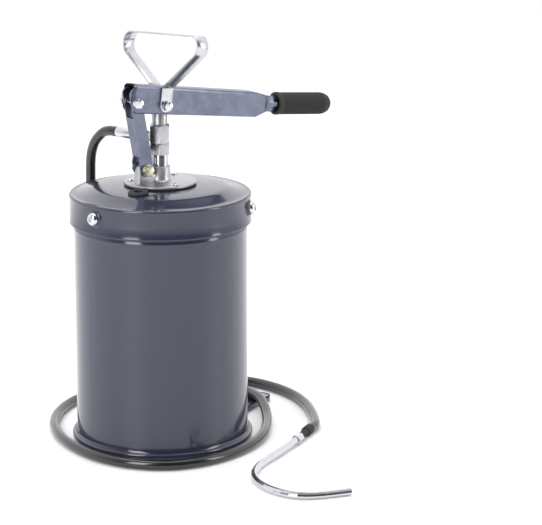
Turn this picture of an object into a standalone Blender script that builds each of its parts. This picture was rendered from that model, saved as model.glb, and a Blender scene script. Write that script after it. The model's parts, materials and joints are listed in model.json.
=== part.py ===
"""Hand-lever oil bucket pump: a sheet steel bucket with a clamped lid, a lift pump under the lid, and a hose.

The origin is the centre of the bucket's flat bottom, +X runs along the lever to the grip, and +Z is up.
Lengths are written in millimetres and turned into metres by MM.
"""

import math

import bmesh
import bpy
from mathutils import Matrix, Vector

MM = 0.001
GAP = 0.3

# Bucket, lid and foot plate
WALL_R = 118.0
CHIME_R = 124.0
CHIME_TOP = 12.0
BUCKET_TOP = 341.0
BUCKET_SHEET = 1.3
LID_R = 124.0
LID_RIM_Z = 346.5
LID_SKIRT = 39.0
LID_SHEET = 1.2
LID_TOP_Z = 358.0
LID_HOLE_R = 24.0
LID_SCREW_ANGLES = (-47.8, -167.8, 72.2)
LID_SCREW_Z = 330.0
GROMMET_AT = (-56.5, -33.2)
GROMMET_TILT = math.radians(-4.5)
PLATE_ANGLE = math.radians(25.2)
PLATE_HALF = 51.0
PLATE_REACH = 220.0
PLATE_TOP = 9.7
PLATE_SHEET = 1.8

# Pump
FLANGE_R = 49.6
FLANGE_Z = 360.0
FLANGE_TOP = 363.0
COLLAR_R = 13.9
COLLAR_TOP = 383.7
FLANGE_SCREW_R = 40.0
FLANGE_SCREW_ANGLES = (150, 30, -90)
CYLINDER_R = 20.0
CYLINDER_BORE = 18.0
ROD_R = 11.0
ROD_BORE = 8.5
NUT_Z = 399.3
HEAD_Z = 415.0
HEAD_HEX_TOP = 441.0
HEX_R = 15.0
HEX_TURN = math.radians(57)
OUTLET_ANGLE = math.radians(108)
OUTLET_Z = 421.0
OUTLET_REACH = 74.2

# Linkage: the pins run along Y
ROD_PIN = (0.0, 467.5)
LINK_PIN = (-44.3, 475.4)
LUG_PIN = (-27.3, 381.7)
LEVER_TILT = math.radians(8.2)
LEVER_HALF = 13.9
LEVER_SHEET = 3.0
LINK_HALF = 10.6
LINK_SHEET = 2.9
LUG_HALF = 6.8
PIN_R = 4.0
PIN_HOLE_R = 4.3
SLACK_HOLE_R = 6.7
GRIP_START = (187.0, 7.8)
GRIP_TURN = math.radians(2.2)
GRIP_MOUTH = 4.5
GRIP_LENGTH = 97.5
HANDLE_WIDTH = 17.5
HANDLE_SHEET = 2.5

HOSE_D = 14.0
SPOUT_D = 10.0
FLOOR_LINE = HOSE_D / 2 + 0.3
STEP_LINE = PLATE_TOP + HOSE_D / 2 + 0.5

# The hose's route, from the ferrule on the pump head to the ferrule of the spout
HOSE_ROUTE = (
    (-23.18, 71.35, OUTLET_Z), (-26.9, 82.8, 420.9), (-29.5, 93.7, 418.0), (-31.0, 103.4, 411.5),
    (-31.7, 112.8, 403.0), (-31.3, 120.6, 393.5), (-30.3, 127.0, 382.5), (-28.8, 131.8, 370.5),
    (-27.2, 135.2, 358.0), (-26.0, 137.5, 340.0), (-25.0, 138.8, 300.0), (-24.0, 139.5, 240.0),
    (-23.0, 140.0, 180.0), (-22.0, 140.8, 120.0), (-19.0, 142.0, 80.0), (-8.5, 144.5, 44.0),
    (14.0, 148.0, 17.5), (45.0, 150.5, 8.4), (80.0, 149.0, FLOOR_LINE), (107.0, 144.0, 10.3),
    (130.0, 135.0, 15.4), (151.0, 121.0, 18.2), (173.0, 92.0, STEP_LINE), (184.0, 58.0, STEP_LINE),
    (180.5, 24.0, STEP_LINE), (169.0, -6.0, 13.0), (153.0, -34.0, 8.6), (133.0, -62.0, FLOOR_LINE), (103.0, -95.0, FLOOR_LINE),
    (66.8, -120.8, FLOOR_LINE), (27.8, -137.0, FLOOR_LINE), (-5.5, -144.0, FLOOR_LINE),
    (-37.0, -144.0, FLOOR_LINE), (-72.0, -134.0, FLOOR_LINE), (-100.0, -112.5, FLOOR_LINE),
    (-122.5, -80.0, FLOOR_LINE), (-135.0, -40.0, FLOOR_LINE), (-137.5, 2.0, FLOOR_LINE),
    (-133.0, 42.0, FLOOR_LINE), (-122.0, 81.0, FLOOR_LINE), (-101.0, 124.0, FLOOR_LINE),
    (-69.0, 162.0, FLOOR_LINE), (-27.0, 192.0, FLOOR_LINE), (24.0, 210.0, FLOOR_LINE),
    (76.0, 216.0, FLOOR_LINE), (128.0, 209.0, FLOOR_LINE), (176.0, 188.0, FLOOR_LINE),
    (212.0, 157.0, FLOOR_LINE), (236.0, 118.0, FLOOR_LINE), (247.0, 74.0, FLOOR_LINE),
    (246.5, 28.0, FLOOR_LINE), (235.0, -16.0, FLOOR_LINE), (216.5, -56.0, FLOOR_LINE),
    (199.0, -86.0, FLOOR_LINE), (186.5, -102.3, FLOOR_LINE), (171.2, -112.4, FLOOR_LINE),
)
SPOUT_START = (122.6, -144.4)
SPOUT_LINE = SPOUT_D / 2 + 0.3
SPOUT_ROUTE = (
    SPOUT_START, (97.0, -158.8), (70.4, -173.2), (50.0, -183.0), (31.0, -193.5), (13.3, -206.7),
    (-2.5, -224.7), (-13.0, -245.0), (-18.4, -265.0), (-19.0, -286.0), (-14.6, -307.5), (-3.0, -326.5),
    (18.0, -340.0), (60.0, -352.5),
)


def clear_scene():
    for thing in list(bpy.data.objects):
        bpy.data.objects.remove(thing)


def finish(name, colour, roughness, metallic):
    """One plain material for each finish."""
    made = bpy.data.materials.get(name)
    if made is None:
        made = bpy.data.materials.new(name)
        made.use_nodes = True
        shader = made.node_tree.nodes["Principled BSDF"]
        shader.inputs["Base Color"].default_value = (*colour, 1)
        shader.inputs["Roughness"].default_value = roughness
        shader.inputs["Metallic"].default_value = metallic
    return made


def slate_paint():
    return finish("slate_paint", (0.16, 0.18, 0.23), 0.25, 0.0)


def zinc():
    return finish("zinc_steel", (0.52, 0.56, 0.62), 0.35, 1.0)


def yellow_zinc():
    return finish("yellow_zinc", (0.66, 0.62, 0.42), 0.35, 1.0)


def bright_steel():
    return finish("bright_steel", (0.75, 0.75, 0.76), 0.2, 1.0)


def cast_alloy():
    return finish("cast_alloy", (0.72, 0.72, 0.72), 0.4, 1.0)


def rubber():
    return finish("black_rubber", (0.02, 0.02, 0.022), 0.6, 0.0)


def bronze():
    return finish("bronze", (0.6, 0.42, 0.2), 0.35, 1.0)


def add_object(name, bm, material):
    """Turn a bmesh in millimetres into a named object in metres."""
    bmesh.ops.remove_doubles(bm, verts=bm.verts, dist=1e-4)
    bmesh.ops.recalc_face_normals(bm, faces=bm.faces)
    bmesh.ops.scale(bm, vec=(MM, MM, MM), verts=bm.verts)
    mesh = bpy.data.meshes.new(name)
    bm.to_mesh(mesh)
    bm.free()
    mesh.materials.append(material)
    mesh.shade_smooth()
    mesh.set_sharp_from_angle(angle=math.radians(35))
    made = bpy.data.objects.new(name, mesh)
    bpy.context.scene.collection.objects.link(made)
    return made


def turned_mesh(profile, segments=32, frame=None):
    """Spin a closed (radius, height) outline about the Z axis."""
    bm = bmesh.new()
    points = [bm.verts.new((r, 0, z)) for r, z in profile]
    edges = []
    for a, b in zip(points, points[1:] + points[:1]):
        if a.co.x > 1e-6 or b.co.x > 1e-6:
            edges.append(bm.edges.new((a, b)))
    bmesh.ops.spin(
        bm, geom=points + edges, cent=(0, 0, 0), axis=(0, 0, 1), angle=math.tau, steps=segments,
        use_merge=True,
    )
    if frame is not None:
        bmesh.ops.transform(bm, matrix=frame, verts=bm.verts)
    return bm


def turned(name, profile, material, segments=32, frame=None):
    return add_object(name, turned_mesh(profile, segments, frame), material)


def prism_mesh(outline, low, high, frame=None):
    """A flat outline in X and Y, raised from low to high along Z."""
    bm = bmesh.new()
    face = bm.faces.new([bm.verts.new((x, y, low)) for x, y in outline])
    raised = bmesh.ops.extrude_face_region(bm, geom=[face])
    top = [v for v in raised["geom"] if isinstance(v, bmesh.types.BMVert)]
    bmesh.ops.translate(bm, vec=(0, 0, high - low), verts=top)
    if frame is not None:
        bmesh.ops.transform(bm, matrix=frame, verts=bm.verts)
    return bm


def prism(name, outline, low, high, material, frame=None):
    return add_object(name, prism_mesh(outline, low, high, frame), material)


def cutter(bm):
    made = add_object("cutter", bm, zinc())
    made.hide_render = True
    made.display_type = "WIRE"
    return made


def shape(target, operation, bm):
    """Join a closed shape to an object, cut it away, or keep only what lies inside it."""
    modifier = target.modifiers.new(operation.lower(), "BOOLEAN")
    modifier.operation = operation
    modifier.solver = "EXACT"
    modifier.object = cutter(bm)


def ring(inner, outer, low, high):
    return ((inner, high), (outer, high), (outer, low), (inner, low))


def disc(radius, low, high):
    return ((0, high), (radius, high), (radius, low), (0, low))


def circle(radius, count, centre=(0.0, 0.0), turn=0.0):
    return [
        (centre[0] + radius * math.cos(turn + math.tau * i / count),
         centre[1] + radius * math.sin(turn + math.tau * i / count))
        for i in range(count)
    ]


def rounded(corners, steps=6):
    """A closed or open run of corners (x, y, radius) with each corner turned into an arc."""
    points = []
    count = len(corners)
    for i, (x, y, radius) in enumerate(corners):
        here = Vector((x, y))
        if not radius:
            points.append((x, y))
            continue
        back = (Vector(corners[i - 1][:2]) - here).normalized()
        ahead = (Vector(corners[(i + 1) % count][:2]) - here).normalized()
        half = math.acos(max(-1, min(1, back.dot(ahead)))) / 2
        centre = here + (back + ahead).normalized() * (radius / math.sin(half))
        start = here + back * (radius / math.tan(half)) - centre
        end = here + ahead * (radius / math.tan(half)) - centre
        sweep = start.angle_signed(end)
        for k in range(steps + 1):
            turn = -sweep * k / steps
            points.append((
                centre.x + start.x * math.cos(turn) - start.y * math.sin(turn),
                centre.y + start.x * math.sin(turn) + start.y * math.cos(turn),
            ))
    return points


def along_y(x, z, tilt=0.0):
    """A frame whose X and Y become X and Z through a pin at (x, z), and whose Z becomes -Y."""
    return Matrix.Translation((x, 0, z)) @ Matrix.Rotation(tilt, 4, "Y") @ Matrix.Rotation(math.pi / 2, 4, "X")


def radial(angle, z):
    """A frame whose Z axis points outwards from the Z axis at this angle and height."""
    return Matrix.Translation((0, 0, z)) @ Matrix.Rotation(angle, 4, "Z") @ Matrix.Rotation(math.pi / 2, 4, "Y")


def bolt(name, frame, shank, head, material, flat=13.0, flange=8.3):
    """A flanged hexagon bolt: the shank runs up from 0, and the head lies below."""
    made = turned(name, disc(PIN_R, -0.8, shank), material, 20, frame)
    shape(made, "UNION", turned_mesh(disc(flange, -1.6, 0), 24, frame))
    shape(made, "UNION", prism_mesh(circle(flat / math.sqrt(3), 6), -head, -1.2, frame))
    return made


def flange_nut(name, frame, low, high, material, flat=13.0, flange=8.3):
    made = turned(name, disc(flange, low, low + 1.6), material, 24, frame)
    nut = prism_mesh(circle(flat / math.sqrt(3), 6), low + 1.2, high, frame)
    shape(made, "UNION", nut)
    shape(made, "DIFFERENCE", turned_mesh(disc(PIN_HOLE_R, low - 2, high + 2), 20, frame))
    return made


def build_bucket():
    inner = WALL_R - BUCKET_SHEET
    turned("bucket_shell", (
        (0, BUCKET_SHEET), (inner, BUCKET_SHEET), (inner, BUCKET_TOP - 1), (inner + 0.6, BUCKET_TOP),
        (WALL_R + 1, BUCKET_TOP), (WALL_R + 2, BUCKET_TOP - 1.2), (WALL_R + 2, BUCKET_TOP - 2.2),
        (WALL_R, BUCKET_TOP - 3.4), (WALL_R, 306), (WALL_R + 0.9, 303.5), (WALL_R + 0.9, 299.5),
        (WALL_R, 297), (WALL_R, CHIME_TOP + 2), (CHIME_R - 2, CHIME_TOP), (CHIME_R, CHIME_TOP - 2.5),
        (CHIME_R, 2), (CHIME_R - 2, 0), (0, 0),
    ), slate_paint(), 72)


def build_foot_plate():
    frame = Matrix.Rotation(PLATE_ANGLE, 4, "Z")
    start = 95.0
    outline = rounded((
        (start, -PLATE_HALF, 0), (PLATE_REACH, -PLATE_HALF, 9), (PLATE_REACH, PLATE_HALF, 9),
        (start, PLATE_HALF, 0),
    ))
    made = prism("foot_plate", outline, 0, PLATE_TOP, slate_paint(), frame)
    half = PLATE_HALF - PLATE_SHEET
    hollow = rounded((
        (start - 9, -half, 0), (PLATE_REACH - PLATE_SHEET, -half, 7.2),
        (PLATE_REACH - PLATE_SHEET, half, 7.2), (start - 9, half, 0),
    ))
    shape(made, "DIFFERENCE", prism_mesh(hollow, -5, PLATE_TOP - PLATE_SHEET, frame))
    shape(made, "DIFFERENCE", turned_mesh(disc(CHIME_R + GAP, -8, 40), 72))


def build_lid():
    skirt = LID_RIM_Z - LID_SKIRT
    inner = LID_R - LID_SHEET
    top = ((LID_HOLE_R, LID_TOP_Z), (52, LID_TOP_Z), (90, 355.0), (93, 354.3), (112, 348.2), (118, 346.8),
           (121, LID_RIM_Z))
    under = tuple((r, z - LID_SHEET) for r, z in reversed(top))
    lid = turned("lid", top + (
        (LID_R - 0.9, LID_RIM_Z - 0.8), (LID_R, LID_RIM_Z - 3), (LID_R, skirt), (inner, skirt),
        (inner, LID_RIM_Z - 3.3),
    ) + under, slate_paint(), 72)
    for angle in LID_SCREW_ANGLES:
        frame = radial(math.radians(angle), LID_SCREW_Z)
        boss = ((0, LID_R + 1.6), (9.4, LID_R + 1.6), (11, LID_R - 0.7), (0, LID_R - 0.7))
        shape(lid, "UNION", turned_mesh(boss, 24, frame))
        shape(lid, "DIFFERENCE", turned_mesh(disc(PIN_HOLE_R, LID_R - 8, LID_R + 8), 20, frame))
    shape(lid, "DIFFERENCE", turned_mesh(disc(10.3, -20, 20), 28, grommet_frame()))
    for angle in FLANGE_SCREW_ANGLES:
        at = screw_frame(angle)
        shape(lid, "DIFFERENCE", turned_mesh(disc(2.3, LID_TOP_Z - 8, LID_TOP_Z + 8), 14, at))
    turned("lid_gasket", ring(113.5, 119.5, BUCKET_TOP + GAP, LID_RIM_Z - LID_SHEET - 1.0), rubber(), 56)


def build_lid_screws():
    for number, angle in enumerate(LID_SCREW_ANGLES, 1):
        frame = radial(math.radians(angle), LID_SCREW_Z)
        seat = LID_R + 1.9
        screw = turned(f"lid_screw_{number}", (
            (0, seat + 7.0), (4.5, seat + 6.6), (7.2, seat + 5.0), (8.8, seat + 2.4), (9.0, seat),
            (PIN_R, seat), (PIN_R, WALL_R + 0.6), (0, WALL_R + 0.6),
        ), bright_steel(), 24, frame)
        shape(screw, "DIFFERENCE", prism_mesh(circle(3.0, 6), seat + 3.6, seat + 12, frame))
        nut = prism(f"lid_nut_{number}", circle(7.0, 6, turn=math.pi / 6), WALL_R + 1.0, LID_R - 1.7,
                    zinc(), frame)
        shape(nut, "DIFFERENCE", turned_mesh(disc(PIN_HOLE_R, WALL_R - 4, LID_R + 4), 20, frame))


def grommet_frame():
    x, y = GROMMET_AT
    reach = math.hypot(x, y)
    drop = LID_TOP_Z - (reach - 52) * 3.0 / 38
    return (Matrix.Translation((x, y, drop)) @ Matrix.Rotation(math.atan2(y, x), 4, "Z")
            @ Matrix.Rotation(-GROMMET_TILT, 4, "Y"))


def build_grommet():
    low = -LID_SHEET - 0.35
    turned("spout_grommet", (
        (6.6, 3.9), (11.0, 4.1), (13.6, 3.3), (14.2, 1.8), (13.9, 0.4), (10.0, 0.4), (10.0, low),
        (12.6, low), (12.6, low - 2.4), (9.0, low - 4.5), (6.6, low - 4.5),
    ), rubber(), 32, grommet_frame())


def screw_frame(angle):
    turn = math.radians(angle)
    return Matrix.Translation((FLANGE_SCREW_R * math.cos(turn), FLANGE_SCREW_R * math.sin(turn), 0))


def build_flange():
    hub = 23.4
    flange = turned("pump_flange", (
        (ROD_R + 0.4, COLLAR_TOP), (COLLAR_R - 0.8, COLLAR_TOP), (COLLAR_R, COLLAR_TOP - 0.8),
        (COLLAR_R, FLANGE_TOP + 6), (COLLAR_R + 1.2, FLANGE_TOP + 2.4), (COLLAR_R + 3.4, FLANGE_TOP + 0.6),
        (FLANGE_R - 0.5, FLANGE_TOP), (FLANGE_R, FLANGE_TOP - 0.5), (FLANGE_R, FLANGE_Z), (hub, FLANGE_Z),
        (hub, 346), (CYLINDER_R + GAP, 346), (CYLINDER_R + GAP, FLANGE_Z - 1), (ROD_R + 0.4, FLANGE_Z - 1),
    ), cast_alloy(), 56)
    x, z = LUG_PIN
    reach = 8.4
    ear = [(-12.4, FLANGE_Z + 1.5), (-12.4, 373.5), (x + 9.0, 374.5)]
    ear += [(x + reach * math.cos(t), z + reach * math.sin(t)) for t in
            (math.pi * k / 12 for k in range(13))]
    ear += [(x - reach - 1.2, FLANGE_TOP + 4), (x - reach - 2.4, FLANGE_Z + 1.5)]
    shape(flange, "UNION", prism_mesh(ear, -LUG_HALF, LUG_HALF, along_y(0, 0)))
    shape(flange, "DIFFERENCE", turned_mesh(disc(PIN_HOLE_R, -20, 20), 24, along_y(x, z)))
    shape(flange, "DIFFERENCE", turned_mesh(disc(ROD_R + 0.4, 340, 400), 56))
    for angle in FLANGE_SCREW_ANGLES:
        at = screw_frame(angle)
        shape(flange, "DIFFERENCE", turned_mesh(disc(2.3, FLANGE_Z - 4, FLANGE_TOP + 4), 14, at))
    gasket = turned("flange_gasket", ring(LID_HOLE_R, FLANGE_R - 1.6, LID_TOP_Z + GAP, FLANGE_Z - GAP),
                    rubber(), 40)
    for angle in FLANGE_SCREW_ANGLES:
        at = screw_frame(angle)
        shape(gasket, "DIFFERENCE", turned_mesh(disc(2.3, FLANGE_Z - 8, FLANGE_Z + 8), 14, at))


def build_flange_screws():
    seat = FLANGE_TOP + GAP
    under = LID_TOP_Z - LID_SHEET - GAP
    for number, angle in enumerate(FLANGE_SCREW_ANGLES, 1):
        at = screw_frame(angle)
        screw = turned(f"flange_screw_{number}", (
            (0, seat + 2.9), (2.3, seat + 2.6), (3.8, seat + 1.4), (4.2, seat), (2.0, seat),
            (2.0, under - 5), (0, under - 5),
        ), bright_steel(), 20, at)
        shape(screw, "DIFFERENCE", prism_mesh(circle(1.4, 6), seat + 1.2, seat + 6, at))
        nut = prism(f"flange_nut_{number}", circle(4.4, 6), under - 3.4, under, zinc(), at)
        shape(nut, "DIFFERENCE", turned_mesh(disc(2.3, under - 8, under + 8), 14, at))


def build_pump_tube():
    turned("pump_cylinder", ring(CYLINDER_BORE, CYLINDER_R, 24, FLANGE_Z - 1 - GAP), zinc(), 28)
    bore = CYLINDER_BORE - GAP
    turned("rod_bush", ring(ROD_R + GAP, bore, 340, FLANGE_Z - 1 - 2 * GAP), bronze(), 28)
    turned("rod_seal", (
        (ROD_R + 0.15, 339.7), (bore, 339.7), (bore, 333), (ROD_R + 3, 333), (ROD_R + 0.5, 334.5),
        (ROD_R + 0.15, 336.5),
    ), rubber(), 28)
    turned("foot_valve_body", (
        (8.5, 50), (bore, 50), (bore, 28), (14, 24.5), (5, 24.5), (5, 32), (8.5, 36),
    ), bronze(), 24)
    bm = bmesh.new()
    bmesh.ops.create_cone(bm, segments=16, radius1=1.3, radius2=1.3, depth=32, cap_ends=True)
    bmesh.ops.transform(bm, matrix=Matrix.Translation((0, 0, 48)) @ Matrix.Rotation(math.pi / 2, 4, "Y"),
                        verts=bm.verts)
    pin = add_object("foot_valve_pin", bm, bright_steel())
    body = bpy.data.objects["foot_valve_body"]
    shape(body, "DIFFERENCE", turned_mesh(disc(1.6, -17, 17), 16, Matrix.Translation((0, 0, 48))
                                          @ Matrix.Rotation(math.pi / 2, 4, "Y")))
    pin.data.materials.clear()
    pin.data.materials.append(bright_steel())
    strainer = turned("suction_strainer", (
        (CYLINDER_R + GAP, 40), (CYLINDER_R + 1.8, 40), (CYLINDER_R + 1.8, 9), (CYLINDER_R, 7),
        (0, 7), (0, 8.4), (CYLINDER_R - 1, 8.4), (CYLINDER_R + GAP, 9.6),
    ), zinc(), 24)
    for x, y in circle(10.5, 6):
        shape(strainer, "DIFFERENCE", turned_mesh(disc(3.2, 2, 16), 10, Matrix.Translation((x, y, 0))))
    for turn in range(4):
        frame = Matrix.Rotation(turn * math.pi / 4, 4, "Z") @ Matrix.Translation((0, 0, 17))
        frame = frame @ Matrix.Rotation(math.pi / 2, 4, "Y")
        shape(strainer, "DIFFERENCE", turned_mesh(disc(2.6, -30, 30), 10, frame))


def ball(name, radius, height):
    bm = bmesh.new()
    bmesh.ops.create_uvsphere(bm, u_segments=14, v_segments=8, radius=radius)
    bmesh.ops.translate(bm, vec=(0, 0, height), verts=bm.verts)
    return add_object(name, bm, bright_steel())


def port_frame():
    return radial(OUTLET_ANGLE, OUTLET_Z)


def build_plunger():
    rod = turned("piston_rod", ring(ROD_BORE, ROD_R, 74.3, 433.5), bright_steel(), 36)
    shape(rod, "DIFFERENCE", turned_mesh(disc(4.2, 2, 16), 18, port_frame()))
    turned("piston", (
        (11.3, 88), (15.5, 88), (17.4, 86), (17.4, 71), (14.6, 71), (14.6, 66), (17.4, 66), (17.4, 61),
        (16.4, 60), (5, 60), (5, 64), (8.2, 67.6), (8.2, 74), (11.3, 74),
    ), bronze(), 24)
    turned("piston_cup", ((15.0, 70.7), (17.8, 70.7), (17.8, 66.3), (15.0, 66.3)), rubber(), 24)
    ball("piston_valve_ball", 7.0, 69.5)
    ball("foot_valve_ball", 7.0, 37.45)
    nut = prism("rod_lock_nut", circle(HEX_R, 6, turn=HEX_TURN), NUT_Z, HEAD_Z - GAP, zinc())
    chamfer = ((0, HEAD_Z + 1), (13.6, HEAD_Z + 0.2), (15.4, HEAD_Z - 1.6), (15.4, NUT_Z + 1.8),
               (13.4, NUT_Z - 0.2), (0, NUT_Z - 1))
    shape(nut, "INTERSECT", turned_mesh(chamfer, 36))
    shape(nut, "DIFFERENCE", turned_mesh(disc(ROD_R + GAP, NUT_Z - 9, HEAD_Z + 9), 36))


def build_head():
    head = prism("discharge_head", circle(HEX_R, 6, turn=HEX_TURN), HEAD_Z, HEAD_HEX_TOP, cast_alloy())
    chamfer = ((0, HEAD_HEX_TOP + 1), (11.6, HEAD_HEX_TOP + 0.2), (15.4, HEAD_HEX_TOP - 3.4),
               (15.4, HEAD_Z + 1.6), (13.6, HEAD_Z - 0.2), (0, HEAD_Z - 1))
    shape(head, "INTERSECT", turned_mesh(chamfer, 36))
    top = ROD_PIN[1] + 10.5
    neck = ((0, top), (8.0, top), (10.4, top - 3), (10.4, HEAD_HEX_TOP - 5), (0, HEAD_HEX_TOP - 5))
    shape(head, "UNION", turned_mesh(neck, 30, Matrix.Rotation(0.05, 4, "Z")))
    boss = ((0, 19), (5.2, 19), (5.8, 18), (5.8, 9.5), (0, 9.5))
    shape(head, "UNION", turned_mesh(boss, 24, port_frame()))
    shape(head, "DIFFERENCE", turned_mesh(disc(ROD_R + GAP, HEAD_Z - 9, 434), 36))
    shape(head, "DIFFERENCE", turned_mesh(disc(3.6, 7, 24), 18, port_frame()))
    pin_hole = along_y(*ROD_PIN, 0.07)
    shape(head, "DIFFERENCE", turned_mesh(disc(PIN_HOLE_R, -21, 19), 22, pin_hole))


def build_outlet():
    frame = port_frame()
    nipple = turned("outlet_nipple", (
        (3.4, 62), (4.9, 62), (4.9, 30), (6.2, 28.6), (6.2, 19.3), (3.4, 19.3),
    ), zinc(), 24, frame)
    shape(nipple, "UNION", prism_mesh(circle(8.0, 6), 20.5, 29, frame))
    shape(nipple, "DIFFERENCE", turned_mesh(disc(3.4, 15, 70), 24, frame))
    turned("outlet_ferrule", (
        (5.3, OUTLET_REACH - 1.2), (6.4, OUTLET_REACH), (7.2, OUTLET_REACH - 0.8), (7.3, 41), (6.6, 38.5),
        (5.3, 38.5),
    ), bright_steel(), 28, frame)


def lever_frame():
    """X runs along the lever from the rod pin, Y is its height, and Z is -Y of the pump."""
    return along_y(*ROD_PIN, LEVER_TILT)


def grip_frame():
    u, w = GRIP_START
    return lever_frame() @ Matrix.Translation((u, w, 0)) @ Matrix.Rotation(GRIP_TURN, 4, "Z") @ \
        Matrix.Rotation(math.pi / 2, 4, "Y")


def link_hole():
    """The link pin in the lever's own frame."""
    du, dz = LINK_PIN[0] - ROD_PIN[0], LINK_PIN[1] - ROD_PIN[1]
    return (du * math.cos(LEVER_TILT) - dz * math.sin(LEVER_TILT),
            du * math.sin(LEVER_TILT) + dz * math.cos(LEVER_TILT))


def build_lever():
    frame = lever_frame()
    outline = rounded((
        (-52, 25.4, 5), (-51, -12.9, 9), (153, -11.2, 4), (171, -2.6, 6), (182, -3.0, 0),
        (182, 18.2, 0), (168, 20.0, 20), (150, 23.6, 20),
    ))
    arm = prism("lever_arm", outline, -LEVER_HALF, LEVER_HALF, zinc(), frame)
    bevel = arm.modifiers.new("rounded_back", "BEVEL")
    bevel.width = 3.2 * MM
    bevel.segments = 2
    bevel.limit_method = "ANGLE"
    bevel.angle_limit = math.radians(60)
    for side in (-1, 1):
        scoop = circle(24, 32, (178, side * (24 + 10.2)))
        upright = lever_frame() @ Matrix.Rotation(-math.pi / 2, 4, "X")
        shape(arm, "DIFFERENCE", prism_mesh(scoop, -40, 40, upright))
    inside = rounded((
        (-42, 22.4, 0), (-42, 60, 0), (-90, 60, 0), (-90, -40, 0), (152, -40, 0), (150, 12, 8), (140, 20.6, 8),
    ))
    half = LEVER_HALF - LEVER_SHEET
    shape(arm, "DIFFERENCE", prism_mesh(inside, -half, half, frame))
    shape(arm, "UNION", turned_mesh(disc(10.9, -21, GRIP_LENGTH - 8), 28, grip_frame()))
    for reach, (u, w) in ((30, (0, 0)), (26, link_hole())):
        at = frame @ Matrix.Translation((u, w, 0)) @ Matrix.Rotation(math.radians(reach / 4), 4, "Z")
        shape(arm, "DIFFERENCE", turned_mesh(disc(PIN_HOLE_R, -reach, reach), 22, at))
    mouth, end = GRIP_MOUTH, GRIP_LENGTH
    turned("lever_grip", (
        (0, end), (6, end - 0.5), (10.5, end - 2.6), (13.6, end - 6), (15, end - 11), (15.2, end - 16),
        (15.2, mouth + 12), (15.4, mouth + 4), (16.4, mouth + 0.8), (16.0, mouth), (11.3, mouth),
        (11.3, end - 7), (0, end - 7),
    ), rubber(), 32, grip_frame())


def build_link():
    """A channel whose web faces the grip's far side, with plates that straddle the lug below."""
    (x0, z0), (x1, z1) = LUG_PIN, LINK_PIN
    length = math.hypot(x1 - x0, z1 - z0)
    lean = math.atan2(x0 - x1, z1 - z0)
    frame = along_y(x0, z0, -lean)
    plate = rounded((
        (-9.4, -9.4, 9), (10.4, -9.4, 9), (10.4, length + 18.6, 8.2), (-6.4, length + 18.6, 8.2), (-6.4, 18, 4),
        (-9.4, 12, 4),
    ))
    link = prism("link_bracket", plate, -LINK_HALF, LINK_HALF, zinc(), frame)
    half = LINK_HALF - LINK_SHEET
    back = -6.4 + LINK_SHEET
    inside = ((-40, -40), (60, -40), (60, length + 40), (-40, length + 40), (-40, length - 21), (back, length - 21),
              (back, 19.5), (-40, 19.5))
    shape(link, "DIFFERENCE", prism_mesh(inside, -half, half, frame))
    shape(link, "DIFFERENCE", turned_mesh(disc(SLACK_HOLE_R, -30, 30), 28, frame))
    top = frame @ Matrix.Translation((0, length, 0))
    shape(link, "DIFFERENCE", turned_mesh(disc(PIN_HOLE_R, -30, 30), 20, top))


def build_pins():
    lug = along_y(*LUG_PIN) @ Matrix.Rotation(math.pi, 4, "X")
    face = LINK_HALF + GAP
    bolt("lug_bolt", lug @ Matrix.Translation((0, 0, -face)), 2 * face + 8.5, 6.6, yellow_zinc())
    flange_nut("lug_nut", lug, face, face + 7, yellow_zinc())
    link = along_y(*LINK_PIN, LEVER_TILT) @ Matrix.Rotation(math.pi, 4, "X")
    face = LEVER_HALF + GAP
    bolt("link_bolt", link @ Matrix.Translation((0, 0, -face)), 2 * face + 8.5, 6.6, bright_steel(), 11.5, 6.6)
    flange_nut("link_nut", link, face, face + 7, bright_steel(), 11.5, 6.6)
    rod = along_y(*ROD_PIN, LEVER_TILT) @ Matrix.Rotation(math.pi, 4, "X")
    face = LEVER_HALF + GAP + HANDLE_SHEET + 2 * GAP
    bolt("rod_pin_bolt", rod @ Matrix.Translation((0, 0, -face)), 2 * face + 8.5, 6.6, bright_steel(), 11.5, 6.6)
    flange_nut("rod_pin_nut", rod, face, face + 7, bright_steel(), 11.5, 6.6)


def build_handle():
    """A flat strip bent into an open triangle, its two tabs hanging on the rod pin outside the lever."""
    inner = LEVER_HALF + GAP
    middle = inner + HANDLE_SHEET / 2
    centre = rounded((
        (-middle, -9, 0), (-middle, 24.5, 5), (-117.5, 104.4, 14), (133.4, 83.9, 16), (middle, 24.5, 5),
        (middle, -9, 0),
    ), 12)
    outer, inside = [], []
    for i, (y, z) in enumerate(centre):
        before, after = centre[max(i - 1, 0)], centre[min(i + 1, len(centre) - 1)]
        run = Vector((after[0] - before[0], after[1] - before[1])).normalized()
        side = Vector((-run.y, run.x)) * HANDLE_SHEET / 2
        outer.append((y + side.x, z + side.y))
        inside.append((y - side.x, z - side.y))
    strip = outer + inside[::-1]
    lean = Matrix.Translation((ROD_PIN[0], 0, ROD_PIN[1])) @ Matrix.Rotation(LEVER_TILT, 4, "Y")
    across = Matrix(((0, 0, 1, 0), (1, 0, 0, 0), (0, 1, 0, 0), (0, 0, 0, 1)))
    half = HANDLE_WIDTH / 2
    handle = prism("carry_handle", strip, -half, half, zinc(), lean @ across)
    at = along_y(*ROD_PIN, LEVER_TILT)
    keep = rounded(((-half, 200, 0), (-half, -8.7, 8.6), (half, -8.7, 8.6), (half, 200, 0)))
    wide = [(x * 1.001, y) for x, y in keep]
    shape(handle, "INTERSECT", prism_mesh(wide, -200, 200, at))
    shape(handle, "DIFFERENCE", turned_mesh(disc(PIN_HOLE_R, -40, 40), 20, at))


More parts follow.
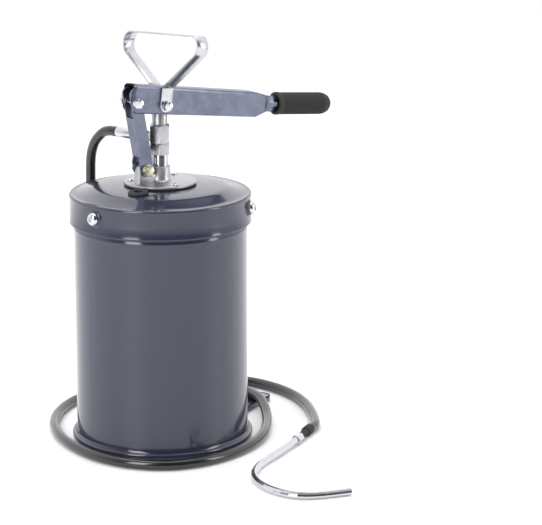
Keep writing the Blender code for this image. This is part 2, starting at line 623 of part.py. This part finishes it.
def smooth_route(points, step):
    """Points along a Catmull-Rom curve through the route, closer together near its start."""
    knots = [Vector(p) for p in points]
    knots = [2 * knots[0] - knots[1]] + knots + [2 * knots[-1] - knots[-2]]
    fine = []
    for a, b, c, d in zip(knots, knots[1:], knots[2:], knots[3:]):
        for k in range(12):
            t = k / 12
            fine.append(0.5 * (2 * b + (c - a) * t + (2 * a - 5 * b + 4 * c - d) * t * t
                               + (3 * b - a - 3 * c + d) * t ** 3))
    fine.append(knots[-2])
    kept, run, total = [fine[0]], 0.0, 0.0
    for a, b in zip(fine, fine[1:]):
        run += (b - a).length
        total += (b - a).length
        if run >= min(step, 4 + total / 6):
            kept.append(b)
            run = 0.0
    kept[-1] = fine[-1]
    return kept


def tube(name, points, diameter, material, sides):
    curve = bpy.data.curves.new(name, "CURVE")
    curve.dimensions = "3D"
    curve.bevel_depth = diameter / 2 * MM
    curve.bevel_resolution = sides
    curve.use_fill_caps = True
    spline = curve.splines.new("POLY")
    spline.points.add(len(points) - 1)
    for slot, point in zip(spline.points, points):
        slot.co = (*(point * MM), 1)
    curve.materials.append(material)
    made = bpy.data.objects.new(name, curve)
    bpy.context.scene.collection.objects.link(made)


def build_hose():
    tube("hose", smooth_route(HOSE_ROUTE, 31), HOSE_D, rubber(), 2)
    spout = [(x, y, max(SPOUT_LINE, FLOOR_LINE - 0.5 * i)) for i, (x, y) in enumerate(SPOUT_ROUTE)]
    tube("spout_tube", smooth_route(spout, 10), SPOUT_D, bright_steel(), 4)
    start = Vector(HOSE_ROUTE[-1])
    end = Vector((*SPOUT_START, FLOOR_LINE))
    run = end - start
    frame = Matrix.Translation(start) @ run.to_track_quat("Z", "Y").to_matrix().to_4x4()
    reach = run.length - GAP
    turned("spout_ferrule", (
        (0, 1), (6.6, 1), (7.2, 1.8), (7.2, 16.5), (6.4, 18), (5.0, 18), (5.0, reach - 4), (0, reach - 4),
    ), rubber(), 24, frame)
    nut = prism("spout_nut", circle(7.25, 6), reach - 17, reach - 0.5, bright_steel(), frame)
    shape(nut, "DIFFERENCE", turned_mesh(disc(5.0 + GAP, reach - 30, reach - 3.4), 24, frame))


def build():
    clear_scene()
    build_bucket()
    build_foot_plate()
    build_lid()
    build_lid_screws()
    build_grommet()
    build_flange()
    build_flange_screws()
    build_pump_tube()
    build_plunger()
    build_head()
    build_outlet()
    build_lever()
    build_link()
    build_pins()
    build_handle()
    build_hose()


build()
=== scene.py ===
"""Hand-lever oil bucket pump: the visible pieces, their finishes, the studio and the camera."""

import json
import math

import bmesh
import bpy
from bpy.props import FloatProperty, FloatVectorProperty, IntProperty, PointerProperty
from mathutils import Matrix, Vector


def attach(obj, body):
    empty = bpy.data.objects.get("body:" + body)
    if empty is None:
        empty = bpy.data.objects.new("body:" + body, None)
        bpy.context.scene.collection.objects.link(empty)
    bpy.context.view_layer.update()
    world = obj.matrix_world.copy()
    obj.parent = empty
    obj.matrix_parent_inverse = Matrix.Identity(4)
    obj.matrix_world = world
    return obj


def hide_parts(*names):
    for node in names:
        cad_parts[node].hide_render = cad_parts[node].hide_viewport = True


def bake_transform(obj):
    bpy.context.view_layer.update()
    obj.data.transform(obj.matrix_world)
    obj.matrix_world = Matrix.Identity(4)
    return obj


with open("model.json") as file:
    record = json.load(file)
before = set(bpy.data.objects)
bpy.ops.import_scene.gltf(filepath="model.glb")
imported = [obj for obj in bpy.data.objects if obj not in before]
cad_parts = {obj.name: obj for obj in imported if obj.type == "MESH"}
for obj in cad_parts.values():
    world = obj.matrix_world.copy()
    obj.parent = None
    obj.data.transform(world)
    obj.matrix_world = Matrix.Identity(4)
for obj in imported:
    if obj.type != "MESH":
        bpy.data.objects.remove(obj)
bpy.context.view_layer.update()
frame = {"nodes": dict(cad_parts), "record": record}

bl_info = {
    "name": "Oil Bucket Pump",
    "version": (1, 0, 0),
    "blender": (4, 5, 0),
    "location": "View3D > Sidebar > Pump",
    "description": "Builds a hand-lever bucket pump for gear oil with its hose, spout and studio",
    "category": "Add Mesh",
}

NODES = frame["nodes"]
RECORD = frame["record"]
SLOT_OF = {row["node"]: row["material_slot"] for row in RECORD["subparts"]}
BODY_OF = {node: body for body, nodes in RECORD["behaviour"]["bodies"].items() for node in nodes}
MM = 0.001
MERGE = 1e-6  # metres, for vertices that a spin or a loose-triangle copy leaves on each other

# The hose's route in metres, from the ferrule on the pump head to the ferrule of the spout
FLOOR_LINE = 0.0073
STEP_LINE = 0.0172
HOSE_ROUTE = (
    (-0.02318, 0.07135, 0.421), (-0.0269, 0.0828, 0.4209), (-0.0295, 0.0937, 0.418), (-0.031, 0.1034, 0.4115),
    (-0.0317, 0.1128, 0.403), (-0.0313, 0.1206, 0.3935), (-0.0303, 0.127, 0.3825), (-0.0288, 0.1318, 0.3705),
    (-0.0272, 0.1352, 0.358), (-0.026, 0.1375, 0.34), (-0.025, 0.1388, 0.3), (-0.024, 0.1395, 0.24),
    (-0.023, 0.14, 0.18), (-0.022, 0.1408, 0.12), (-0.019, 0.142, 0.08), (-0.0085, 0.1445, 0.044),
    (0.014, 0.148, 0.0175), (0.045, 0.1505, 0.0084), (0.08, 0.149, FLOOR_LINE), (0.107, 0.144, 0.0103),
    (0.13, 0.135, 0.0154), (0.151, 0.121, 0.0182), (0.173, 0.092, STEP_LINE), (0.184, 0.058, STEP_LINE),
    (0.1805, 0.024, STEP_LINE), (0.169, -0.006, 0.013), (0.153, -0.034, 0.0086), (0.133, -0.062, FLOOR_LINE),
    (0.103, -0.095, FLOOR_LINE), (0.0668, -0.1208, FLOOR_LINE), (0.0278, -0.137, FLOOR_LINE),
    (-0.0055, -0.144, FLOOR_LINE), (-0.037, -0.144, FLOOR_LINE), (-0.072, -0.134, FLOOR_LINE),
    (-0.1, -0.1125, FLOOR_LINE), (-0.1225, -0.08, FLOOR_LINE), (-0.135, -0.04, FLOOR_LINE),
    (-0.1375, 0.002, FLOOR_LINE), (-0.133, 0.042, FLOOR_LINE), (-0.122, 0.081, FLOOR_LINE),
    (-0.101, 0.124, FLOOR_LINE), (-0.069, 0.162, FLOOR_LINE), (-0.027, 0.192, FLOOR_LINE),
    (0.024, 0.21, FLOOR_LINE), (0.076, 0.216, FLOOR_LINE), (0.128, 0.209, FLOOR_LINE),
    (0.176, 0.188, FLOOR_LINE), (0.212, 0.157, FLOOR_LINE), (0.236, 0.118, FLOOR_LINE),
    (0.247, 0.074, FLOOR_LINE), (0.2465, 0.028, FLOOR_LINE), (0.235, -0.016, FLOOR_LINE),
    (0.2165, -0.056, FLOOR_LINE), (0.199, -0.086, FLOOR_LINE), (0.1865, -0.1023, FLOOR_LINE),
    (0.1712, -0.1124, FLOOR_LINE),
)

# Places that the pieces share with the solids, in millimetres
ROD_PIN = (0.0, 467.5)
LEVER_TILT = math.radians(8.2)
GRIP_START = (187.0, 7.8)
GRIP_TURN = math.radians(2.2)
GRIP_MOUTH = 4.5
GRIP_LENGTH = 97.5
GRIP_R = 15.4
LID_SCREW_ANGLES = (-47.8, -167.8, 72.2)
LID_SCREW_Z = 330.0

# Pieces whose solids are right in shape: node, width of the eased edge in millimetres
EASED = {
    "foot_plate": 1.0, "spout_grommet": 0.5, "pump_flange": 0.35, "flange_gasket": 0.2,
    "flange_screw_1": 0.2, "flange_screw_2": 0.2, "flange_screw_3": 0.2,
    "lid_screw_1": 0.3, "lid_screw_2": 0.3, "lid_screw_3": 0.3,
    "rod_lock_nut": 0.35, "discharge_head": 0.4, "outlet_nipple": 0.25, "outlet_ferrule": 0.3,
    "piston_rod": 0.3, "lever_arm": 0.0, "link_bracket": 0.0, "carry_handle": 0.5,
    "link_bolt": 0.35, "link_nut": 0.35, "rod_pin_bolt": 0.35, "rod_pin_nut": 0.35,
    "lug_bolt": 0.35, "lug_nut": 0.35, "spout_ferrule": 0.3, "spout_nut": 0.35,
}


# The studio, in metres: the camera, and each soft light's name, place, size and power
CAMERA_AT = (-1.85994, -2.86406, 1.104)
CAMERA_AHEAD = (0.563544, 0.7894, -0.243446)
CAMERA_LENS = 170.9
LAMPS_AIM = Vector((0, 0, 0.25))
SOFTBOXES = (
    ("left_softbox", (-2.4, -0.9, 1.5), (1.0, 2.2), 46),
    ("right_softbox", (1.9, -2.3, 1.3), (0.7, 2.0), 24),
    ("overhead", (0.2, 0.5, 3.2), (2.2, 2.2), 42),
)


# Materials ------------------------------------------------------------------------------------

def mottle_group():
    """Two tones, a roughness that drifts between two values, and a fine bump, all on object coordinates."""
    made = bpy.data.node_groups.get("mottle")
    if made:
        return made
    made = bpy.data.node_groups.new("mottle", "ShaderNodeTree")
    sockets = made.interface
    for name, kind, value in (
        ("Light Tone", "NodeSocketColor", (0.5, 0.5, 0.5, 1)),
        ("Dark Tone", "NodeSocketColor", (0.3, 0.3, 0.3, 1)),
        ("Patch Scale", "NodeSocketFloat", 60.0), ("Grain Scale", "NodeSocketFloat", 900.0),
        ("Least Roughness", "NodeSocketFloat", 0.2), ("Most Roughness", "NodeSocketFloat", 0.4),
        ("Bump", "NodeSocketFloat", 0.1), ("Bump Depth", "NodeSocketFloat", 0.0002),
    ):
        socket = sockets.new_socket(name=name, in_out="INPUT", socket_type=kind)
        socket.default_value = value
    sockets.new_socket(name="Color", in_out="OUTPUT", socket_type="NodeSocketColor")
    sockets.new_socket(name="Roughness", in_out="OUTPUT", socket_type="NodeSocketFloat")
    sockets.new_socket(name="Normal", in_out="OUTPUT", socket_type="NodeSocketVector")
    nodes, links = made.nodes, made.links
    given, result = nodes.new("NodeGroupInput"), nodes.new("NodeGroupOutput")
    place = nodes.new("ShaderNodeTexCoord")
    patches, grain = nodes.new("ShaderNodeTexNoise"), nodes.new("ShaderNodeTexNoise")
    patches.inputs["Detail"].default_value = 5
    patches.inputs["Roughness"].default_value = 0.62
    grain.inputs["Detail"].default_value = 3
    for texture, scale in ((patches, "Patch Scale"), (grain, "Grain Scale")):
        links.new(place.outputs["Object"], texture.inputs["Vector"])
        links.new(given.outputs[scale], texture.inputs["Scale"])
    spread = nodes.new("ShaderNodeMapRange")
    spread.inputs["From Min"].default_value = 0.3
    spread.inputs["From Max"].default_value = 0.7
    links.new(patches.outputs["Fac"], spread.inputs["Value"])
    tones = nodes.new("ShaderNodeMix")
    tones.data_type = "RGBA"
    links.new(spread.outputs["Result"], tones.inputs["Factor"])
    links.new(given.outputs["Dark Tone"], tones.inputs["A"])
    links.new(given.outputs["Light Tone"], tones.inputs["B"])
    links.new(tones.outputs["Result"], result.inputs["Color"])
    blur = nodes.new("ShaderNodeMapRange")
    links.new(patches.outputs["Fac"], blur.inputs["Value"])
    links.new(given.outputs["Least Roughness"], blur.inputs["To Min"])
    links.new(given.outputs["Most Roughness"], blur.inputs["To Max"])
    links.new(blur.outputs["Result"], result.inputs["Roughness"])
    bump = nodes.new("ShaderNodeBump")
    links.new(grain.outputs["Fac"], bump.inputs["Height"])
    links.new(given.outputs["Bump"], bump.inputs["Strength"])
    links.new(given.outputs["Bump Depth"], bump.inputs["Distance"])
    links.new(bump.outputs["Normal"], result.inputs["Normal"])
    return made


def finish(name, light, dark, rough, metallic=0.0, patch=60.0, grain=900.0, bump=0.1, depth=0.0002, coat=0.0):
    """A material that mottles between two tones, with its constants on the shader's own sockets."""
    made = bpy.data.materials.get(name)
    if made:
        return made
    made = bpy.data.materials.new(name)
    made.use_nodes = True
    nodes, links = made.node_tree.nodes, made.node_tree.links
    shader = nodes["Principled BSDF"]
    shader.inputs["Metallic"].default_value = metallic
    shader.inputs["Coat Weight"].default_value = coat
    shader.inputs["Coat Roughness"].default_value = 0.02
    group = nodes.new("ShaderNodeGroup")
    group.node_tree = mottle_group()
    for socket, value in (
        ("Light Tone", (*light, 1)), ("Dark Tone", (*dark, 1)),
        ("Patch Scale", patch), ("Grain Scale", grain),
        ("Least Roughness", rough[0]), ("Most Roughness", rough[1]), ("Bump", bump), ("Bump Depth", depth),
    ):
        group.inputs[socket].default_value = value
    links.new(group.outputs["Color"], shader.inputs["Base Color"])
    links.new(group.outputs["Roughness"], shader.inputs["Roughness"])
    links.new(group.outputs["Normal"], shader.inputs["Normal"])
    return made


def shaded(colour, share):
    return tuple(channel * share for channel in colour)


def material_for(slot):
    """The finish for one of the record's slots, or for a piece that looks unlike its slot's others."""
    tones = bpy.context.scene.pump_colours
    if slot == "slate_paint":
        return finish("slate_enamel", tones.enamel, shaded(tones.enamel, 0.93), (0.12, 0.2),
                      patch=9, grain=260, bump=0.05, depth=0.0001, coat=0.35)
    if slot == "zinc_steel":
        return finish("zinc_plate", tones.zinc, shaded(tones.zinc, 0.62), (0.2, 0.42),
                      metallic=1.0, patch=55, grain=700, bump=0.18)
    if slot == "handle_zinc":
        return finish("handle_zinc_plate", shaded(tones.steel, 0.95), shaded(tones.steel, 0.75), (0.16, 0.3),
                      metallic=1.0, patch=40, grain=600)
    if slot == "yellow_zinc":
        return finish("yellow_zinc_plate", tones.yellow_zinc, shaded(tones.yellow_zinc, 0.7), (0.25, 0.4),
                      metallic=1.0, patch=160)
    if slot == "bright_steel":
        return finish("bright_plate", tones.steel, shaded(tones.steel, 0.86), (0.12, 0.24),
                      metallic=1.0, patch=90, bump=0.06)
    if slot == "cast_alloy":
        return finish("cast_alloy_skin", tones.alloy, shaded(tones.alloy, 0.8), (0.28, 0.5),
                      metallic=1.0, patch=120, grain=1300, bump=0.3, depth=0.0003)
    if slot == "hose_rubber":
        return finish("hose_rubber", tones.rubber, shaded(tones.rubber, 0.7), (0.16, 0.3),
                      patch=30, grain=700, bump=0.15, depth=0.0003, coat=0.5)
    if slot == "bronze":
        return finish("machined_bronze", (0.6, 0.42, 0.2), (0.45, 0.3, 0.14), (0.25, 0.4), metallic=1.0)
    return finish("black_rubber", shaded(tones.rubber, 1.2), tones.rubber, (0.42, 0.6),
                  patch=80, grain=1200, bump=0.35, depth=0.0003)


# Shapes ---------------------------------------------------------------------------------------

def add_piece(name, bm, body, slot, nodes, angle=32, finish_as=None, ease=0.0):
    """Turn a bmesh in metres into a finished piece that rides on a body and stands for CAD nodes."""
    mesh = bpy.data.meshes.new(name)
    bm.to_mesh(mesh)
    bm.free()
    mesh.materials.append(material_for(finish_as or slot))
    mesh.shade_smooth()
    if not ease:
        mesh.set_sharp_from_angle(angle=math.radians(angle))
    made = bpy.data.objects.new(name, mesh)
    bpy.context.scene.collection.objects.link(made)
    if ease:
        bevel = made.modifiers.new("eased_edges", "BEVEL")
        bevel.width = ease * MM
        bevel.segments = 2
        bevel.limit_method = "ANGLE"
        bevel.angle_limit = math.radians(32)
        bevel.harden_normals = True
    if body:
        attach(made, body)
    if nodes:
        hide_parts(*nodes)
    return made


def spun(profile, segments, frame_matrix=None):
    """Spin a (radius, height) outline in millimetres about Z. Points at radius 0 close the ends."""
    bm = bmesh.new()
    points = [bm.verts.new((r * MM, 0, z * MM)) for r, z in profile]
    edges = [bm.edges.new(pair) for pair in zip(points, points[1:])]
    bmesh.ops.spin(bm, geom=points + edges, cent=(0, 0, 0), axis=(0, 0, 1), angle=math.tau, steps=segments,
                   use_merge=True)
    bmesh.ops.remove_doubles(bm, verts=bm.verts, dist=MERGE)
    bmesh.ops.recalc_face_normals(bm, faces=bm.faces)
    if frame_matrix is not None:
        bmesh.ops.transform(bm, matrix=frame_matrix, verts=bm.verts)
    return bm


def join(bm, other):
    """Add one bmesh's faces to another."""
    mesh = bpy.data.meshes.new("joined")
    other.to_mesh(mesh)
    other.free()
    bm.from_mesh(mesh)
    bpy.data.meshes.remove(mesh)
    return bm


def arc(centre, radius, start, end, steps):
    """Points (radius, height) on an arc, its angles in degrees from the outward direction."""
    return [
        (centre[0] + radius * math.cos(math.radians(start + (end - start) * k / steps)),
         centre[1] + radius * math.sin(math.radians(start + (end - start) * k / steps)))
        for k in range(steps + 1)
    ]


def placed(matrix):
    """A frame given in millimetres, turned into metres."""
    made = matrix.copy()
    made.translation *= MM
    return made


def radial(angle, z):
    turn = Matrix.Rotation(math.radians(angle), 4, "Z") @ Matrix.Rotation(math.pi / 2, 4, "Y")
    return placed(Matrix.Translation((0, 0, z)) @ turn)


def grip_frame():
    lever = Matrix.Translation((ROD_PIN[0], 0, ROD_PIN[1])) @ Matrix.Rotation(LEVER_TILT, 4, "Y")
    lever = lever @ Matrix.Rotation(math.pi / 2, 4, "X")
    along = Matrix.Translation((*GRIP_START, 0)) @ Matrix.Rotation(GRIP_TURN, 4, "Z")
    return placed(lever @ along @ Matrix.Rotation(math.pi / 2, 4, "Y"))


def smooth_route(points, per_leg):
    """Points along a Catmull-Rom curve through the route."""
    knots = [Vector(p) for p in points]
    knots = [2 * knots[0] - knots[1]] + knots + [2 * knots[-1] - knots[-2]]
    fine = []
    for a, b, c, d in zip(knots, knots[1:], knots[2:], knots[3:]):
        for k in range(per_leg):
            t = k / per_leg
            fine.append(0.5 * (2 * b + (c - a) * t + (2 * a - 5 * b + 4 * c - d) * t * t
                               + (3 * b - a - 3 * c + d) * t ** 3))
    fine.append(knots[-2])
    return fine


def tube_mesh(name, points, diameter, sides):
    """A round tube along the points, as a mesh."""
    curve = bpy.data.curves.new(name, "CURVE")
    curve.dimensions = "3D"
    curve.bevel_depth = diameter / 2
    curve.bevel_resolution = sides
    curve.use_fill_caps = True
    spline = curve.splines.new("POLY")
    spline.points.add(len(points) - 1)
    for slot, point in zip(spline.points, points):
        slot.co = (*point, 1)
    held = bpy.data.objects.new(name + "_line", curve)
    bpy.context.scene.collection.objects.link(held)
    bpy.context.view_layer.update()
    mesh = bpy.data.meshes.new_from_object(held.evaluated_get(bpy.context.evaluated_depsgraph_get()))
    bpy.data.objects.remove(held)
    bpy.data.curves.remove(curve)
    bm = bmesh.new()
    bm.from_mesh(mesh)
    bpy.data.meshes.remove(mesh)
    bmesh.ops.remove_doubles(bm, verts=bm.verts, dist=MERGE)
    bmesh.ops.recalc_face_normals(bm, faces=bm.faces)
    return bm


def eased_copy(node, width):
    """A merged copy of a CAD node with its edges eased, which stands for the node."""
    bm = bmesh.new()
    bm.from_mesh(NODES[node].data)
    bmesh.ops.remove_doubles(bm, verts=bm.verts, dist=2 * MERGE)
    bmesh.ops.dissolve_limit(bm, angle_limit=math.radians(0.8), verts=bm.verts, edges=bm.edges)
    finish_as = {"carry_handle": "handle_zinc", "rod_lock_nut": "cast_alloy"}.get(node)
    return add_piece(f"{node}_eased", bm, BODY_OF[node], SLOT_OF[node], [node],
                     finish_as=finish_as, ease=width)


# Settings and operators -----------------------------------------------------------------------

class PumpSizes(bpy.types.PropertyGroup):
    hose_diameter: FloatProperty(
        name="Hose Diameter", description="Outside diameter of the hose", default=0.014, unit="LENGTH")
    rib_pitch: FloatProperty(
        name="Rib Pitch", description="Distance between the grip's ribs", default=0.0031, unit="LENGTH")
    rib_depth: FloatProperty(
        name="Rib Depth", description="Depth of the grooves in the grip", default=0.0007, unit="LENGTH")
    wall_steps: IntProperty(
        name="Wall Steps", description="Faces round the bucket and its lid", default=144, min=32, max=256)


class PumpColours(bpy.types.PropertyGroup):
    enamel: FloatVectorProperty(
        name="Enamel", description="Paint of the bucket and lid", subtype="COLOR",
        default=(0.03, 0.0325, 0.06))
    zinc: FloatVectorProperty(
        name="Zinc", description="Plating of the lever and link", subtype="COLOR",
        default=(0.2, 0.215, 0.285))
    yellow_zinc: FloatVectorProperty(
        name="Yellow Zinc", description="Plating of the lug bolt", subtype="COLOR",
        default=(0.66, 0.64, 0.47))
    steel: FloatVectorProperty(
        name="Steel", description="Bright steel fittings", subtype="COLOR",
        default=(0.66, 0.67, 0.7))
    alloy: FloatVectorProperty(
        name="Alloy", description="Cast flange and head", subtype="COLOR",
        default=(0.55, 0.55, 0.57))
    rubber: FloatVectorProperty(
        name="Rubber", description="Hose, grip and gaskets", subtype="COLOR",
        default=(0.012, 0.012, 0.014))


def build_surroundings(tree):
    """White paper behind the pump and a dim room in front of it, as its bright metal would mirror them."""
    nodes, links = tree.nodes, tree.links
    sky = nodes["Background"]
    sky.inputs["Strength"].default_value = 1.0
    way = nodes.new("ShaderNodeTexCoord")
    front = nodes.new("ShaderNodeVectorMath")
    front.operation = "DOT_PRODUCT"
    front.inputs[1].default_value = (-0.52, -0.83, 0.1)
    links.new(way.outputs["Generated"], front.inputs[0])
    ramp = nodes.new("ShaderNodeValToRGB")
    ramp.color_ramp.interpolation = "EASE"
    stops = ramp.color_ramp.elements
    stops[0].position, stops[0].color = 0.42, (1.25, 1.25, 1.27, 1)
    stops[1].position, stops[1].color = 0.86, (0.07, 0.07, 0.08, 1)
    half = nodes.new("ShaderNodeMapRange")
    half.inputs["From Min"].default_value = -1
    links.new(front.outputs["Value"], half.inputs["Value"])
    links.new(half.outputs["Result"], ramp.inputs["Fac"])
    seen = nodes.new("ShaderNodeLightPath")
    paper = nodes.new("ShaderNodeMix")
    paper.data_type = "RGBA"
    paper.inputs["B"].default_value = (1.0, 1.0, 1.0, 1)
    links.new(seen.outputs["Is Camera Ray"], paper.inputs["Factor"])
    links.new(ramp.outputs["Color"], paper.inputs["A"])
    links.new(paper.outputs["Result"], sky.inputs["Color"])


class PUMP_OT_stage(bpy.types.Operator):
    """Set the floor, the soft lights and the camera"""
    bl_idname = "pump.stage"
    bl_label = "Stage"

    def execute(self, context):
        scene = context.scene
        scene.view_settings.view_transform = "Standard"
        bm = bmesh.new()
        bmesh.ops.create_grid(bm, x_segments=1, y_segments=1, size=40)
        mesh = bpy.data.meshes.new("studio_floor")
        bm.to_mesh(mesh)
        bm.free()
        floor = bpy.data.objects.new("studio_floor", mesh)
        scene.collection.objects.link(floor)
        paper = bpy.data.materials.new("studio_paper")
        paper.use_nodes = True
        shader = paper.node_tree.nodes["Principled BSDF"]
        shader.inputs["Base Color"].default_value = (0.93, 0.93, 0.93, 1)
        shader.inputs["Roughness"].default_value = 0.6
        shader.inputs["Emission Color"].default_value = (1, 1, 1, 1)
        shader.inputs["Emission Strength"].default_value = 0.12
        mesh.materials.append(paper)
        world = bpy.data.worlds.new("studio")
        scene.world = world
        world.use_nodes = True
        build_surroundings(world.node_tree)
        for name, place, size, power in SOFTBOXES:
            light = bpy.data.lights.new(name, "AREA")
            light.shape = "RECTANGLE"
            light.size, light.size_y = size
            light.energy = power
            lamp = bpy.data.objects.new(name, light)
            lamp.location = place
            aim = LAMPS_AIM - Vector(place)
            lamp.rotation_euler = aim.to_track_quat("-Z", "Y").to_euler()
            scene.collection.objects.link(lamp)
        lens = bpy.data.cameras.new("camera")
        lens.lens = CAMERA_LENS
        lens.sensor_width = 36
        lens.clip_end = 100
        camera = bpy.data.objects.new("camera", lens)
        camera.location = CAMERA_AT
        camera.rotation_euler = Vector(CAMERA_AHEAD).to_track_quat("-Z", "Y").to_euler()
        scene.collection.objects.link(camera)
        scene.camera = camera
        return {"FINISHED"}


class PUMP_OT_hose(bpy.types.Operator):
    """Lay the hose from the pump head to the spout"""
    bl_idname = "pump.hose"
    bl_label = "Hose"

    def execute(self, context):
        diameter = context.scene.pump_sizes.hose_diameter
        line = smooth_route(HOSE_ROUTE, 8)
        hose = add_piece("oil_hose", tube_mesh("oil_hose", line, diameter, 10), None, "black_rubber",
                         ["hose"], angle=40, finish_as="hose_rubber")
        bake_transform(hose)
        ends = [eased_copy(node, EASED[node]) for node in ("spout_ferrule", "spout_nut")]
        return {"FINISHED"}


class PUMP_OT_bucket(bpy.types.Operator):
    """Spin the bucket with its rolled base ring and its rim"""
    bl_idname = "pump.bucket"
    bl_label = "Bucket"

    def execute(self, context):
        steps = context.scene.pump_sizes.wall_steps
        profile = [(0, 1.3), (116.6, 1.3), (116.7, 340), (117.3, 341), (119, 341), (120, 339.8), (120, 338.8),
                   (118, 337.6), (117.9, 309), (117.4, 306.5), (117.4, 303.2), (118.2, 301.6), (118.6, 300),
                   (118.2, 298.4), (118, 296.6), (118, 15.5), (118.4, 13.6)]
        profile += arc((121.2, 9.2), 3.3, 120, 0, 8) + arc((121.2, 3.2), 3.1, -5, -90, 5)
        profile += [(118.5, 0.1), (117.5, 0.9), (0, 0.9)]
        add_piece("bucket_wall", spun(profile, steps), "body", "slate_paint", ["bucket_shell"], 50)
        return {"FINISHED"}


class PUMP_OT_lid(bpy.types.Operator):
    """Spin the lid with its rolled rim, its skirt and the bosses of its clamp screws"""
    bl_idname = "pump.lid"
    bl_label = "Lid"

    def execute(self, context):
        steps = context.scene.pump_sizes.wall_steps
        profile = [(24, 356.8), (24, 358), (52, 358), (60, 357.5), (76, 356.3), (87, 355.4), (91.5, 354.6),
                   (95, 353.2), (103, 350.6), (111, 348.4), (116, 347.2)]
        profile += arc((121.2, 344.6), 2.75, 110, -20, 9)
        profile += [(123.5, 342.4), (123.6, 326), (123.7, 310)] + arc((123.3, 308.4), 0.9, 20, -90, 4)
        profile += [(122.7, 307.6), (122.6, 342), (120.5, 345), (112, 346.9), (91, 353.3), (52, 356.8),
                    (24, 356.8)]
        bm = spun(profile, steps)
        for angle in LID_SCREW_ANGLES:
            boss = [(12.4, 122.9), (12.0, 123.9), (10.9, 124.7), (10.0, 125.5), (9.2, 125.6), (4.3, 125.6),
                    (4.3, 122.9), (12.4, 122.9)]
            join(bm, spun(boss, 40, radial(angle, LID_SCREW_Z)))
        add_piece("lid_pressing", bm, "body", "slate_paint", ["lid"], 50)
        return {"FINISHED"}


class PUMP_OT_grip(bpy.types.Operator):
    """Spin the ribbed rubber grip on the end of the lever"""
    bl_idname = "pump.grip"
    bl_label = "Grip"

    def execute(self, context):
        sizes = context.scene.pump_sizes
        pitch, depth = sizes.rib_pitch / MM, sizes.rib_depth / MM
        mouth = ((11.2, 1.2), (11.8, 0), (15.3, 0), (15.9, 0.8), (15.9, 4.2), (GRIP_R, 5.0))
        profile = [(radius, GRIP_MOUTH + height) for radius, height in mouth]
        at = GRIP_MOUTH + 6.0
        while at < GRIP_LENGTH - 17:
            profile += [(GRIP_R, at), (GRIP_R, at + pitch * 0.45), (GRIP_R - depth, at + pitch * 0.62),
                        (GRIP_R - depth, at + pitch * 0.86)]
            at += pitch
        profile += [(GRIP_R, at), (15.1, GRIP_LENGTH - 14), (14.2, GRIP_LENGTH - 9.5),
                    (12.2, GRIP_LENGTH - 5.2), (9.3, GRIP_LENGTH - 2.3), (5.0, GRIP_LENGTH - 0.5), (0, GRIP_LENGTH)]
        add_piece("ribbed_grip", spun(profile, 64, grip_frame()), "lever", "black_rubber", ["lever_grip"], 38)
        return {"FINISHED"}


class PUMP_OT_hardware(bpy.types.Operator):
    """Ease the edges of the pump's metal pieces and give every other piece its finish"""
    bl_idname = "pump.hardware"
    bl_label = "Hardware"

    def execute(self, context):
        for node, width in EASED.items():
            if f"{node}_eased" not in bpy.data.objects:
                eased_copy(node, width)
        for node, thing in NODES.items():
            material = material_for(SLOT_OF[node])
            for slot in thing.material_slots:
                slot.material = material
        return {"FINISHED"}


OPERATORS = (PUMP_OT_stage, PUMP_OT_hose, PUMP_OT_bucket, PUMP_OT_lid, PUMP_OT_grip, PUMP_OT_hardware)


class PUMP_PT_panel(bpy.types.Panel):
    """The pump's pieces, its sizes and its colours"""
    bl_idname = "PUMP_PT_panel"
    bl_label = "Oil Bucket Pump"
    bl_space_type = "VIEW_3D"
    bl_region_type = "UI"
    bl_category = "Pump"

    def draw(self, context):
        for group in (context.scene.pump_sizes, context.scene.pump_colours):
            for name in group.__annotations__:
                self.layout.prop(group, name)
        for operator in OPERATORS:
            self.layout.operator(operator.bl_idname)


def register():
    for kind in (PumpSizes, PumpColours, *OPERATORS, PUMP_PT_panel):
        bpy.utils.register_class(kind)
    bpy.types.Scene.pump_sizes = PointerProperty(type=PumpSizes)
    bpy.types.Scene.pump_colours = PointerProperty(type=PumpColours)


def unregister():
    del bpy.types.Scene.pump_sizes
    del bpy.types.Scene.pump_colours
    for kind in reversed((PumpSizes, PumpColours, *OPERATORS, PUMP_PT_panel)):
        bpy.utils.unregister_class(kind)


def main():
    register()
    bpy.ops.pump.stage()
    bpy.ops.pump.hose()
    bpy.ops.pump.bucket()
    bpy.ops.pump.lid()
    bpy.ops.pump.grip()
    bpy.ops.pump.hardware()


if __name__ == "__main__":
    main()
